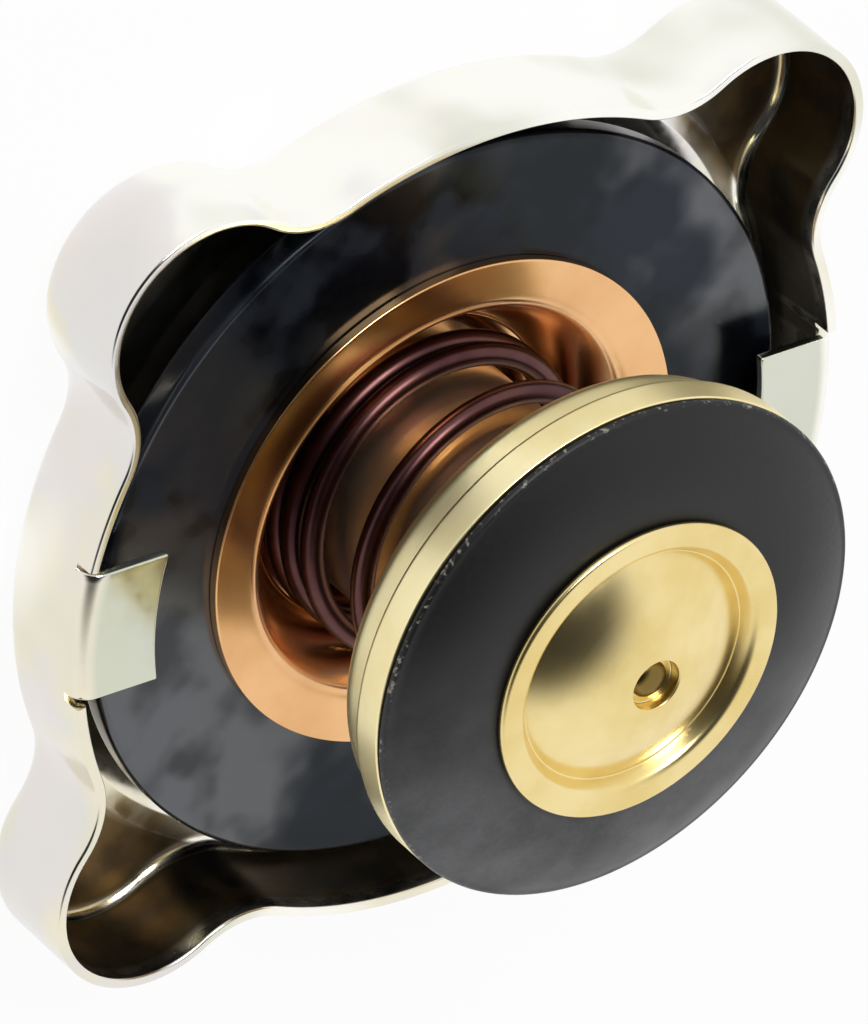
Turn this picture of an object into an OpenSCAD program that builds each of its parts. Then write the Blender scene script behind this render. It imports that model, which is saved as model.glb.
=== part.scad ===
// Radiator pressure cap with a vacuum valve, lying on its crown with the valve side up.
// Millimetres. The origin is the middle of the crown's outer face, and +Z runs out of the valve side.

/* [Shell] */
// Inside radius of the skirt
skirt_r = 27.8; // [26:0.1:32]
// Sheet thickness of the shell
shell_t = 0.7; // [0.5:0.05:1.1]
// Height of the skirt, from the outer face of the ears to the rim
skirt_h = 8; // [6.5:0.1:10]
// How far the crown stands out past the ears
crown_h = 0.5; // [0.3:0.1:2]
// Width of the flat ledge between the wall's bend and the crown's lip
ledge_w = 0.3; // [0.2:0.1:1.2]
// How far the crown's sloping side runs in
crown_run = 3; // [2:0.1:4]
// Outside radius of the bend round the crown's flat
crown_bend = 1.6; // [1.3:0.1:2.2]
// Outside radius of the bend at the lip of the crown's hollow
lip_bend = 0.3; // [0.1:0.1:0.8]
// Inside radius of an ear's nose
ear_r = 6.8; // [5.5:0.1:7.5]
// How far an ear reaches past the skirt
ear_out = 8; // [6:0.1:10]
// Radius of the blend between an ear and the skirt
ear_blend = 6.2; // [3:0.1:7.5]
// Inside radius of the bend at the foot of the wall
wall_bend = 1; // [0.6:0.05:1.8]

/* [Bayonet tabs] */
// Width of a tab at its fold
tab_w = 9.2; // [7:0.1:12]
// How much wider a tab is at its inner edge
tab_flare = 0; // [0:0.1:2]
// How far a tab reaches in from the skirt
tab_reach = 5.1; // [3:0.1:6.5]
// Outside radius of a tab's fold
tab_fold = 1.4; // [1.25:0.05:2]
// Width of the relief cut at each side of a tab's fold
tab_relief = 0.3; // [0.1:0.05:0.8]

/* [Rivet] */
// Radius of the rivet's shank
rivet_r = 2.5; // [2:0.1:3]
// Radius of the rivet's flush head
rivet_head_r = 4; // [3.4:0.1:5]
// Height of the rivet's inner head
rivet_head_h = 1.3; // [0.8:0.1:2]
// Radius of the rivet's inner head
rivet_inner_r = 4.1; // [3.4:0.1:5]
// Straight edge under the inner head's dome
rivet_edge = 0.2; // [0.1:0.05:0.4]
// Gap round the shank where the valve assembly turns on it
rivet_clear = 0.05; // [0.03:0.01:0.08]
// Gap at each end of the swivelling stack
swivel_gap = 0.1; // [0.05:0.01:0.2]

/* [Gasket and spring disc] */
// Depth of the gasket's face below the rim
gasket_depth = 2.55; // [2.2:0.05:3.2]
// Thickness of the gasket
gasket_t = 2; // [1.5:0.1:2.2]
// Gap between the gasket's edge and the skirt
gasket_gap = 2.3; // [1.5:0.1:3]
// Rounding of the gasket's edge
gasket_round = 0.45; // [0.2:0.05:0.7]
// Thickness of the spring disc behind the gasket
disc_t = 0.35; // [0.25:0.05:0.45]
// How far the disc's edge stays inside the gasket's
disc_inset = 0.7; // [0.4:0.1:2]
// Width of the disc's flat behind the gasket
disc_land = 4.5; // [3:0.1:6]
// Inside radius of the disc's bends
disc_bend = 0.5; // [0.3:0.1:1]

/* [Spring seat] */
// Sheet thickness of the seat
seat_t = 0.7; // [0.5:0.05:0.8]
// Room between the spring and the seat's sloping side
seat_room = 0.5; // [0.3:0.05:1]
// How far the seat's sloping side runs out
seat_run = 3.1; // [2.5:0.1:3.6]
// Inside radius of the bend at the foot of the sloping side
seat_bend = 0.3; // [0.2:0.05:0.5]
// Inside radius of the shoulder that rolls over to the flange
shoulder_bend = 0.7; // [0.4:0.1:1]
// Gap between the shoulder and the gasket's hole
hole_gap = 0.1; // [0.05:0.05:0.5]
// How far the seat's flange reaches over the gasket
seat_grip = 2.35; // [1.5:0.05:3]

/* [Main spring] */
// Mean radius of the coil
spring_r = 9.85; // [9.4:0.05:10.4]
// Diameter of the wire
wire_d = 1.5; // [1.2:0.05:1.7]
// Close turns at the seat
close_turns = 2; // [1:0.5:2]
// Open turns
open_turns = 2; // [2:0.5:3]
// Close turns at the valve plate
end_turns = 1; // [1:0.5:1.5]
// Gap between the close turns
turn_gap = 0.1; // [0.06:0.01:0.2]

/* [Bell] */
// Sheet thickness of the bell
bell_t = 0.7; // [0.5:0.05:0.8]
// Gap between the bell and the spring
bell_gap = 0.8; // [0.4:0.05:1]
// Length of the bell
bell_l = 13.2; // [11:0.05:15]
// Inside radius of the bell's bends
bell_bend = 0.3; // [0.2:0.05:0.6]

/* [Valve plate] */
// Outside radius of the valve plate
plate_r = 17.3; // [16.5:0.1:18.5]
// Sheet thickness of the plate
plate_t = 0.7; // [0.5:0.05:0.8]
// Distance from the bell's mouth to the plate's back
plate_gap = 3.7; // [3.3:0.1:5]
// Depth of the plate's back cup
cup_h = 2.8; // [2:0.1:3.5]
// How much smaller the back cup is than the rim
cup_step = 0.9; // [0.75:0.05:1.2]
// Height of the plate's rim
rim_h = 2.3; // [1.6:0.1:3]
// Inside radius of the bend round the back cup
cup_bend = 0.4; // [0.2:0.05:0.8]
// Outside radius of the bend at the foot of the rim
rim_bend = 0.35; // [0.2:0.05:0.5]
// Sheet thickness of the guide sleeve
sleeve_t = 0.6; // [0.4:0.05:0.7]
// Width of the sleeve's turned-out end
sleeve_flare = 0.8; // [0.65:0.05:1]
// Gap between the sleeve's turned-out end and the bell's wall
flare_gap = 0.2; // [0.1:0.05:0.3]
// Gap between the sleeve and the bell's mouth
mouth_gap = 0.3; // [0.15:0.05:0.35]
// Gap where the sleeve's end rests on the bell's lip
stop_gap = 0.05; // [0.03:0.01:0.1]
// Number of flow holes in the plate
flow_n = 4; // [3:1:4]
// Metal left round each flow hole
flow_edge = 0.35; // [0.25:0.05:0.6]

/* [Pressure seal] */
// Height that the seal stands past the plate's rim
seal_lip = 0.7; // [0.4:0.05:1]
// How much the seal's face rises towards its middle
seal_dome = 1.8; // [0.8:0.05:2.2]
// Gap between the rubber and the plate
seal_gap = 0.05; // [0.03:0.01:0.1]
// Rounding of the seal's front edge
seal_round = 0.4; // [0.2:0.05:0.5]
// Width of the seal's flat land past the vacuum valve's flange
seal_flat = 0.3; // [0.1:0.05:0.6]

/* [Vacuum valve] */
// Radius of the vacuum valve's flange
dish_r = 10.3; // [9.5:0.1:11.5]
// Sheet thickness of the vacuum valve
dish_t = 0.6; // [0.5:0.05:0.7]
// Width of the flange, with the slope down to its groove
dish_rim_w = 2.3; // [2.1:0.1:2.8]
// Width of that slope
groove_w = 0.65; // [0.4:0.05:0.8]
// Inside radius of the bend between the flange and that slope
groove_bend = 0.15; // [0.1:0.05:0.3]
// Depth of the groove inside the flange
dish_groove = 1; // [0.8:0.05:1.2]
// Height of the dome above the groove
dome_h = 2.7; // [2.2:0.1:3.2]
// Radius of the dimple in the dome
dimple_r = 1.7; // [1.5:0.1:2.2]
// Depth of the dimple
dimple_h = 0.9; // [0.7:0.05:1.1]
// Gap between the vacuum valve and the seal
valve_gap = 0.05; // [0.03:0.01:0.1]
// Gap between the groove's wall and the seal's hole
groove_gap = 0.4; // [0.25:0.05:0.5]
// Radius of the stem
stem_r = 1; // [0.8:0.05:1.2]
// Gap between the stem and the plate
stem_clear = 0.05; // [0.03:0.01:0.08]
// Height of the stem's domed end
stem_end = 0.6; // [0.4:0.05:0.7]
// How far the stem's ends are spread past its shank
stem_spread = 0.25; // [0.15:0.05:0.4]
// Width and height of the collar under the vacuum valve
collar = 0.6; // [0.4:0.05:0.8]
// Length of the light spring
light_l = 5.9; // [5:0.1:6.5]
// Mean radius of the light spring
light_r = 2.2; // [1.9:0.05:2.4]
// Wire diameter of the light spring
light_d = 0.45; // [0.35:0.05:0.5]
// Turns of the light spring
light_turns = 6; // [4:1:8]
// Thickness of the retainer washer
clip_t = 0.5; // [0.4:0.05:0.8]
// How far the washer reaches past the light spring
clip_edge = 0.5; // [0.3:0.05:0.8]

/* [Hidden] */
$fn = 120;

// Cutters run this far past what they cut
over = 1;

// Heights, counted up from the crown's outer face
ear_z = crown_h;
ear_in = ear_z + shell_t;
rim_z = ear_z + skirt_h;
gasket_top = rim_z - gasket_depth;
gasket_back = gasket_top - gasket_t;
disc_z = shell_t + swivel_gap;
seat_z = disc_z + disc_t;
seat_top = seat_z + seat_t;
bell_in = seat_top + bell_t;
bell_top = seat_top + bell_l;
rivet_in = bell_in + swivel_gap;
plate_z = bell_top + plate_gap;
plate_in = plate_z + plate_t;
shelf_z = plate_z + cup_h;
lip_z = shelf_z + rim_h;
seal_edge = lip_z + seal_lip;
seal_land = seal_edge + seal_dome;
dish_z = seal_land + valve_gap;
dish_top = dish_z + dish_t;
groove_z = dish_top - dish_groove;
dome_top = groove_z + dome_h;
clip_z = plate_z - light_l - clip_t;

// Radii
crown_top_r = skirt_r - wall_bend - ledge_w;
crown_flat_r = crown_top_r - crown_run;
gasket_r = skirt_r - gasket_gap;
spring_out = spring_r + wire_d / 2;
bell_r = spring_r - wire_d / 2 - bell_gap;
floor_r = spring_out + seat_room;
shoulder_r = floor_r + seat_run;
shoulder_end = shoulder_r + shoulder_bend * tan(atan2(gasket_top - seat_z, seat_run) / 2);
gasket_hole = shoulder_end + hole_gap;
seat_r = gasket_hole + seat_grip;
flare_r = bell_r - bell_t - flare_gap;
sleeve_r = flare_r - sleeve_flare;
sleeve_in = sleeve_r - sleeve_t;
mouth_r = sleeve_r + mouth_gap;
cup_r = plate_r - cup_step;
dome_r = dish_r - dish_rim_w;
seal_hole = dome_r + groove_w + dish_t / 2 + groove_gap;
turn_r = rivet_r + rivet_clear;
stem_hole = stem_r + stem_clear;
light_out = light_r + light_d / 2;
clip_r = light_out + clip_edge;
flow_at = (sleeve_in + light_out) / 2;
flow_r = (sleeve_in - light_out) / 2 - flow_edge;

// The dome is part of a ball that passes through the groove and the dome's top
ball_r = (dome_r * dome_r + dome_h * dome_h) / (2 * dome_h);
ball_z = dome_top - ball_r;
pit_z = ball_z + sqrt(ball_r * ball_r - dimple_r * dimple_r) - dimple_h;

// The ear's nose, its blend circles and the angle where they meet the skirt
nose_at = skirt_r + ear_out - ear_r;
blend_at = skirt_r + ear_blend;
blend_nose = ear_r + ear_blend;
ear_a = acos((blend_at * blend_at + nose_at * nose_at - blend_nose * blend_nose) / (2 * blend_at * nose_at));

// The blends cut this far into the skirt and the noses, so that their faces cross
blend_lap = 0.02;

// Turn of the two tabs, between the ears
tab_at = [-45, 135];

// The middle of a tab's fold, its inner edge, the ends of its cutters and the angle that holds it
fold_x = skirt_r + shell_t - tab_fold;
fold_z = rim_z - tab_fold;
tab_edge = skirt_r - tab_reach;
tab_in = tab_edge - over;
tab_out = skirt_r + shell_t + over;
tab_a = 2 * atan((tab_w + tab_flare + tab_relief) / 2 / tab_edge);

// The fold and its fillet lap the skirt's faces by this much, so that their faces cross
fold_lap = 0.02;

// Points along a bend, from one angle to another
function bend(x, y, r, a0, a1, n = 5) =
    [for (i = [0:n]) let (a = a0 + (a1 - a0) * i / n) [x + r * cos(a), y + r * sin(a)]];

// A path's point without its bend radius, and the direction from one point to the next
function flat(p) = [p[0], p[1]];
function heading(p, q) = flat(q - p) / norm(flat(q - p));

// A path of [x, y, bend radius] points, with each corner rounded to its radius
function corner(a, b, c) =
    let (u = heading(b, a), v = heading(b, c), half = acos(u * v) / 2,
         m = flat(b) + (u + v) / norm(u + v) * b[2] / sin(half), s = flat(b) + u * b[2] / tan(half) - m,
         a0 = atan2(s[1], s[0]), turn = (180 - 2 * half) * sign(cross(v, u)))
    bend(m[0], m[1], b[2], a0, a0 + turn);
function rounded(p) = [for (i = [0:len(p) - 1])
    each i == 0 || i == len(p) - 1 || p[i][2] == 0 ? [flat(p[i])] : corner(p[i - 1], p[i], p[i + 1])];

// The path that lies t to the left of another, with a sharp corner where a bend is tighter than t
function beside(p, t) = let (last = len(p) - 1) [for (i = [0:last])
    let (d0 = heading(p[max(i - 1, 0)], p[max(i, 1)]), d1 = heading(p[min(i, last - 1)], p[min(i + 1, last)]),
         n0 = [-d0[1], d0[0]], n1 = [-d1[1], d1[0]], m = (n0 + n1) / (1 + n0 * n1))
    [p[i][0] + t * m[0], p[i][1] + t * m[1], p[i][2] == 0 ? 0 : max(0, p[i][2] - t * sign(cross(d0, d1)))]];

// The section of a sheet t thick, with one face along a path and the other to its left
function sheet(p, t) = let (q = rounded(beside(p, t))) concat(rounded(p), [for (i = [len(q) - 1:-1:0]) q[i]]);

// A disc with a bend round its lower edge
module bent_disc(r, z0, z1, b)
    rotate_extrude() polygon(concat([[0, z0]], bend(r - b, z0 + b, b, -90, 0, 4), [[r, z1], [0, z1]]));

// A round cutter that leaves the same bend round the lower edge of what it cuts
module bent_cutter(r, z0, z1, b)
    rotate_extrude() polygon(concat([[0, z0 - over], [r + b, z0 - over]], bend(r + b, z0 + b, b, 270, 180, 4),
                                    [[r, z1 + over], [0, z1 + over]]));

// The skirt and its four ears as one solid, with its outline moved out by c
module eared_body(c, z0, z1, b) difference() {
    union() {
        bent_disc(skirt_r + c, z0, z1, b);
        for (q = [0:3]) rotate([0, 0, 90 * q]) {
            translate([nose_at, 0, 0]) bent_disc(ear_r + c, z0, z1, b);
            translate([0, 0, z0]) linear_extrude(z1 - z0)
                polygon([[skirt_r / 2, 0], blend_at * [cos(ear_a), -sin(ear_a)], [nose_at, 0],
                         blend_at * [cos(ear_a), sin(ear_a)]]);
        }
    }
    for (q = [0:3], s = [-1, 1]) rotate([0, 0, 90 * q])
        translate([blend_at * cos(ear_a), s * blend_at * sin(ear_a), 0])
            bent_cutter(ear_blend - c + blend_lap, z0, z1, b);
}

// Distance of a tab's side from its middle line at radius r, moved out by c
function tab_side(r, c) = tab_w / 2 + c + tab_flare / 2 / tab_reach * (skirt_r - r);

// Plan of a strip across the skirt, between two lines beside a tab's middle line
module tab_strip(s0, c0, s1, c1)
    polygon([[tab_in, s0 * tab_side(tab_in, c0)], [tab_out, s0 * tab_side(tab_out, c0)],
             [tab_out, s1 * tab_side(tab_out, c1)], [tab_in, s1 * tab_side(tab_in, c1)]]);

// A section turned about the axis, as wide as a tab with half of its relief
module tab_turned(section) intersection() {
    rotate([0, 0, -tab_a]) rotate_extrude(angle = 2 * tab_a) polygon(section);
    translate([0, 0, ear_z]) linear_extrude(skirt_h + 2 * over)
        tab_strip(-1, tab_relief / 2, 1, tab_relief / 2);
}

// One tab before its fold is rounded, with its fillet to the skirt
module tab_blank() tab_turned(concat([[tab_edge, rim_z - shell_t], [tab_edge, rim_z], [fold_x, rim_z],
    [skirt_r + shell_t / 2, fold_z]], bend(fold_x + fold_lap, fold_z, tab_fold - shell_t, 0, 90)));

// What is cut off round a tab: the outside of its fold, and the relief at its sides
module tab_cuts() {
    tab_turned(concat(bend(fold_x - fold_lap, fold_z - fold_lap, tab_fold, 0, 90),
        [[fold_x - fold_lap, rim_z + over], [tab_out, rim_z + over], [tab_out, fold_z - fold_lap]]));
    for (s = [-1, 1]) translate([0, 0, fold_z])
        linear_extrude(tab_fold + over) tab_strip(s, 0, s, tab_relief);
}

module cap_shell() color("Gainsboro") {
    slope = atan2(crown_h, crown_run);
    difference() {
        union() {
            difference() {
                eared_body(shell_t, ear_z, rim_z, wall_bend + shell_t);
                eared_body(0, ear_in, rim_z + over, wall_bend);
                translate([0, 0, ear_z - over]) cylinder(r = crown_top_r, h = skirt_h);
            }
            rotate_extrude() polygon(sheet([[0, 0, 0], [crown_flat_r, 0, crown_bend],
                [crown_top_r - lip_bend * tan(slope / 2), ear_z, lip_bend],
                [crown_top_r + ledge_w / 2, ear_z, 0]], shell_t));
            for (q = tab_at) rotate([0, 0, q]) tab_blank();
        }
        for (q = tab_at) rotate([0, 0, q]) tab_cuts();
        translate([0, 0, -over]) cylinder(r = rivet_r, h = shell_t + 2 * over);
        cylinder(r1 = rivet_head_r, r2 = rivet_r, h = shell_t);
    }
}

module centre_rivet() color("Silver") {
    cylinder(r1 = rivet_head_r, r2 = rivet_r, h = shell_t);
    cylinder(r = rivet_r, h = rivet_in + rivet_head_h / 2);
    rotate_extrude() polygon(concat([[0, rivet_in], [rivet_inner_r, rivet_in]],
        [for (a = [0:15:90])
            [rivet_inner_r * cos(a), rivet_in + rivet_edge + (rivet_head_h - rivet_edge) * sin(a)]]));
}

module spring_disc() color("LightSteelBlue") {
    edge_r = gasket_r - disc_inset;
    rotate_extrude() polygon(sheet([[turn_r, disc_z, 0], [floor_r, disc_z, disc_bend + disc_t],
        [edge_r - disc_land, gasket_back - disc_t, disc_bend], [edge_r, gasket_back - disc_t, 0]], disc_t));
}

module gasket() color("DarkSlateGray")
    rotate_extrude() polygon(concat([[gasket_hole, gasket_back]],
        bend(gasket_r - gasket_round, gasket_back + gasket_round, gasket_round, -90, 0),
        bend(gasket_r - gasket_round, gasket_top - gasket_round, gasket_round, 0, 90),
        [[gasket_hole, gasket_top]]));

module spring_seat() color("Peru")
    rotate_extrude() polygon(sheet([[turn_r, seat_z, 0], [floor_r, seat_z, seat_bend + seat_t],
        [shoulder_r, gasket_top, shoulder_bend], [seat_r, gasket_top, 0]], seat_t));

module bell() color("DarkGoldenrod")
    rotate_extrude() polygon(sheet([[turn_r, seat_top, 0], [bell_r, seat_top, bell_bend + bell_t],
        [bell_r, bell_top, bell_bend + bell_t], [mouth_r, bell_top, 0]], bell_t));

// A coil of wire as rings of points along the turns, with the height of the wire's middle given turn by turn
module coil(r, d, turns, heights, sides, per_turn) {
    n = round(turns * per_turn);
    pts = [for (i = [0:n], j = [0:sides - 1])
        let (a = 360 * turns * i / n, b = 360 * j / sides, x = r + d / 2 * cos(b))
        [x * cos(a - 90), x * sin(a - 90), heights[i] + d / 2 * sin(b)]];
    polyhedron(pts, concat(
        [[for (j = [0:sides - 1]) j]],
        [for (i = [0:n - 1], j = [0:sides - 1]) let (k = (j + 1) % sides)
            [i * sides + j, (i + 1) * sides + j, (i + 1) * sides + k, i * sides + k]],
        [[for (j = [0:sides - 1]) n * sides + sides - 1 - j]]));
}

module main_spring() color("SaddleBrown") {
    per_turn = 30;
    turns = close_turns + open_turns + end_turns;
    low = seat_top + wire_d / 2;
    high = plate_z - wire_d / 2;
    shut = wire_d + turn_gap;
    open = (high - low - shut * (close_turns + end_turns)) / open_turns;
    coil(spring_r, wire_d, turns, [for (i = [0:round(turns * per_turn)]) let (t = i / per_turn)
        low + shut * min(t, close_turns) + open * max(0, min(t - close_turns, open_turns))
            + shut * max(0, t - close_turns - open_turns)], 10, per_turn);
}

// The pressed plate, with a guide sleeve whose end is turned out behind the bell's lip
module valve_plate() color("Goldenrod") {
    stop_z = bell_top - bell_t - stop_gap;
    difference() {
        union() {
            rotate_extrude() polygon(sheet([[stem_hole, plate_z, 0], [cup_r, plate_z, cup_bend + plate_t],
                [cup_r, shelf_z, 0], [plate_r, shelf_z, rim_bend], [plate_r, lip_z, 0]], plate_t));
            rotate_extrude() polygon(sheet([[flare_r, stop_z, 0], [sleeve_r, stop_z, 0],
                [sleeve_r, plate_z + plate_t / 2, 0]], sleeve_t));
        }
        for (i = [0:flow_n - 1]) rotate([0, 0, 360 / flow_n * i])
            translate([flow_at, 0, plate_z - over]) cylinder(r = flow_r, h = plate_t + 2 * over);
    }
}

// The rubber fills the plate and laps over its rim
module pressure_seal() color("DimGray") {
    back_z = plate_in + seal_gap;
    step_z = shelf_z + plate_t + seal_gap;
    cup_in = cup_r - plate_t - seal_gap;
    rim_in = plate_r - plate_t - seal_gap;
    face_r = plate_r - seal_round;
    land_r = dish_r + seal_flat;
    rotate_extrude() polygon(concat([[seal_hole, back_z]],
        bend(cup_in - cup_bend, back_z + cup_bend, cup_bend, -90, 0),
        [[cup_in, step_z], [rim_in, step_z], [rim_in, lip_z + seal_gap]],
        bend(face_r, seal_edge - seal_round, seal_round, 0, 60, 3),
        [for (t = [0:1 / 6:1])
            [face_r + t * (land_r - face_r), seal_edge + seal_dome * (1 - (1 - t) * (1 - t))]],
        [[seal_hole, seal_land]]));
}

// The vacuum valve's upper face runs in from the flange, into the groove, over the dome and into the dimple
module vacuum_valve() color("Gold") {
    a0 = asin((groove_z - ball_z) / ball_r);
    a1 = acos(dimple_r / ball_r);
    edge = dish_t / 2;
    face = concat([[dish_r - edge, dish_top, 0], [dome_r + groove_w, dish_top, groove_bend + dish_t]],
        [for (i = [0:10]) let (a = a0 + (a1 - a0) * i / 10) [ball_r * cos(a), ball_z + ball_r * sin(a), 0]],
        [[dimple_r, pit_z, 0], [stem_r, pit_z, 0]]);
    rotate_extrude() polygon(concat(sheet(face, dish_t), bend(dish_r - edge, dish_z + edge, edge, -90, 90)));
}

module vacuum_stem() color("Khaki") {
    foot_z = clip_z - clip_t;
    translate([0, 0, foot_z]) cylinder(r = stem_r, h = pit_z + stem_end / 2 - foot_z);
    translate([0, 0, foot_z]) cylinder(r = stem_r + stem_spread, h = clip_t);
    translate([0, 0, pit_z - dish_t - collar]) cylinder(r = stem_r + collar, h = collar);
    rotate_extrude() polygon(concat([[0, pit_z]],
        [for (a = [0:15:90]) [(stem_r + stem_spread) * cos(a), pit_z + stem_end * sin(a)]]));
}

module stem_washer() color("Silver") translate([0, 0, clip_z]) difference() {
    cylinder(r = clip_r, h = clip_t);
    translate([0, 0, -over]) cylinder(r = stem_r, h = clip_t + 2 * over);
}

module vacuum_spring() color("Gray") {
    per_turn = 20;
    low = clip_z + clip_t + light_d / 2;
    high = plate_z - light_d / 2;
    shut = light_d + turn_gap;
    open = (high - low - 2 * shut) / (light_turns - 2);
    coil(light_r, light_d, light_turns, [for (i = [0:light_turns * per_turn]) let (t = i / per_turn)
        low + shut * min(t, 1) + open * max(0, min(t - 1, light_turns - 2))
            + shut * max(0, t - light_turns + 1)], 8, per_turn);
}

cap_shell();
centre_rivet();
spring_disc();
gasket();
spring_seat();
bell();
main_spring();
valve_plate();
pressure_seal();
vacuum_valve();
vacuum_stem();
vacuum_spring();
stem_washer();
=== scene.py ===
import math

import bmesh
import bpy
import numpy as np
from mathutils import Matrix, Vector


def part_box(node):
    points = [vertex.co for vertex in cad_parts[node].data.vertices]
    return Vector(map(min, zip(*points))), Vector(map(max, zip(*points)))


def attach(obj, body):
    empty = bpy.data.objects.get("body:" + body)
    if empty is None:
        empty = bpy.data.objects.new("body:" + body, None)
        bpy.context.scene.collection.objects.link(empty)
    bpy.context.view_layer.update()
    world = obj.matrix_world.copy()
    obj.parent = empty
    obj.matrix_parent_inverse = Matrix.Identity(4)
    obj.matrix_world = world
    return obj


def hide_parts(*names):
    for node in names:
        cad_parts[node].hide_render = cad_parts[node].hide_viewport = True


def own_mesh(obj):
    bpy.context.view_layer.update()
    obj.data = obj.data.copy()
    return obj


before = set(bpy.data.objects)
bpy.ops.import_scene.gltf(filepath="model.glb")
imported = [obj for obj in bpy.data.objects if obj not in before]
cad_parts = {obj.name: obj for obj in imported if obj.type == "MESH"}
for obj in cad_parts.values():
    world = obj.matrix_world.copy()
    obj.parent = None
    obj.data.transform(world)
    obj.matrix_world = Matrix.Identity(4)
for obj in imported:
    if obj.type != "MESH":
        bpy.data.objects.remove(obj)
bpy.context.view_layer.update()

mm = 0.001


# Sections and surfaces, worked out in millimetres

def nodeSpan(node):
    # outer radius along X, lowest and highest Z of a node, in millimetres
    low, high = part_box(node)
    return high.x / mm, low.z / mm, high.z / mm


def unit(v):
    # every vector over its own length
    return v / np.linalg.norm(v, axis=-1, keepdims=True)


holding = {"share": 0.2, "least": 0.03, "ofLeg": 0.3}


def roundPath(corners, closed=False, steps=8):
    # every corner (x, z, radius) turns into an arc that touches both of its legs, with a holding
    # point on each leg just past the arc, so that the flats stay flat under smooth shading
    corners = np.array(corners, float)
    spots = corners[:, :2]
    count = len(corners)
    back = unit(np.roll(spots, 1, 0) - spots)
    ahead = unit(np.roll(spots, -1, 0) - spots)
    half = np.arccos(np.clip((back * ahead).sum(1), -1, 1)) / 2
    radius = corners[:, 2].copy()
    if not closed:
        radius[[0, -1]] = 0
    reach = radius / np.tan(half)
    leg = np.linalg.norm(np.roll(spots, -1, 0) - spots, axis=1)
    free = leg - reach - np.roll(reach, -1)
    share = np.linspace(0, 1, steps + 1)[:, None]
    out = []
    for i in range(count):
        if radius[i] == 0:
            out.append(spots[i:i + 1])
            continue
        middle = spots[i] + unit(back[i] + ahead[i]) * radius[i] / math.sin(half[i])
        first = spots[i] + back[i] * reach[i] - middle
        side = np.sign(ahead[i][0] * back[i][1] - ahead[i][1] * back[i][0])
        angle = math.atan2(first[1], first[0]) + share * (math.pi - 2 * half[i]) * side
        arc = middle + radius[i] * np.hstack([np.cos(angle), np.sin(angle)])
        hold = holding["share"] * radius[i] + holding["least"]
        before = back[i] * (reach[i] + min(hold, holding["ofLeg"] * max(free[i - 1], 0)))
        after = ahead[i] * (reach[i] + min(hold, holding["ofLeg"] * max(free[i], 0)))
        out += [spots[i] + before[None], arc, spots[i] + after[None]]
    return np.vstack(out)


def besidePath(corners, t):
    # the path that lies t to the left: corners move along their mitres, bends open or close by t
    corners = np.array(corners, float)
    step = unit(np.diff(corners[:, :2], axis=0))
    into = np.vstack([step[:1], step])
    outOf = np.vstack([step, step[-1:]])
    left0 = np.stack([-into[:, 1], into[:, 0]], 1)
    left1 = np.stack([-outOf[:, 1], outOf[:, 0]], 1)
    mitre = (left0 + left1) / (1 + (left0 * left1).sum(1, keepdims=True))
    turn = np.sign(into[:, 0] * outOf[:, 1] - into[:, 1] * outOf[:, 0])
    bend = np.where(corners[:, 2] == 0, 0, np.maximum(corners[:, 2] - t * turn, 0))
    return np.column_stack([corners[:, :2] + t * mitre, bend])


def sheetSection(corners, t, edge=0.12):
    # closed section of a sheet: the path, and back along the path beside it, with its cut edges broken
    front = np.array(corners, float)
    behind = besidePath(front, t)[::-1]
    front[[0, -1], 2] = edge
    behind[[0, -1], 2] = edge
    return roundPath(np.vstack([front, behind]), closed=True)


def gridFaces(rows, columns, wrapRows, wrapColumns):
    # quads between neighbours on a grid of rows by columns, joined up where it wraps round
    index = np.arange(rows * columns).reshape(rows, columns)
    if wrapRows:
        index = np.vstack([index, index[:1]])
    if wrapColumns:
        index = np.hstack([index, index[:, :1]])
    return np.stack([index[:-1, :-1], index[1:, :-1], index[1:, 1:], index[:-1, 1:]], -1).reshape(-1, 4)


segmentsRound = 192


def lathe(section, closed=True, segments=segmentsRound):
    # a section (radius, height) turned about Z: x = r cos a, y = r sin a, z = height
    angle = np.linspace(0, 2 * math.pi, segments, endpoint=False)[:, None]
    r = section[None, :, 0]
    z = np.broadcast_to(section[None, :, 1], (segments, len(section)))
    points = np.stack([r * np.cos(angle), r * np.sin(angle), z], -1)
    return points.reshape(-1, 3), gridFaces(segments, len(section), True, closed)


wireEnd = {"run": 0.35, "blunt": 0.65, "steps": 5}


def coil(meanR, wireR, turns, height, sides=20, perTurn=96):
    # a round wire on a helix: its middle turns about Z at radius meanR and its height follows the turns;
    # both ends are blunt, with an edge that is part of a circle
    count = int(turns * perTurn) + 1
    t = np.linspace(0, turns, count)
    cap = wireEnd["run"] * wireR / (2 * math.pi * meanR)
    quarter = cap * (1 - np.cos(np.linspace(0, math.pi / 2, wireEnd["steps"])))
    t = np.concatenate([quarter, t[(t > cap) & (t < turns - cap)], turns - quarter[::-1]])
    inward = np.clip(np.minimum(t, turns - t) / cap, 0, 1)
    thin = np.sqrt(1 - (1 - inward) ** 2)
    thin = wireEnd["blunt"] * (inward > 0) + (1 - wireEnd["blunt"]) * thin
    a = 2 * math.pi * t - math.pi / 2
    b = np.linspace(0, 2 * math.pi, sides, endpoint=False)[None, :]
    r = meanR + wireR * thin[:, None] * np.cos(b)
    z = height(t)[:, None] + wireR * thin[:, None] * np.sin(b)
    points = np.stack([r * np.cos(a)[:, None], r * np.sin(a)[:, None], z], -1)
    return points.reshape(-1, 3), gridFaces(len(t), sides, False, True)


mergeWithin = 0.0005


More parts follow.
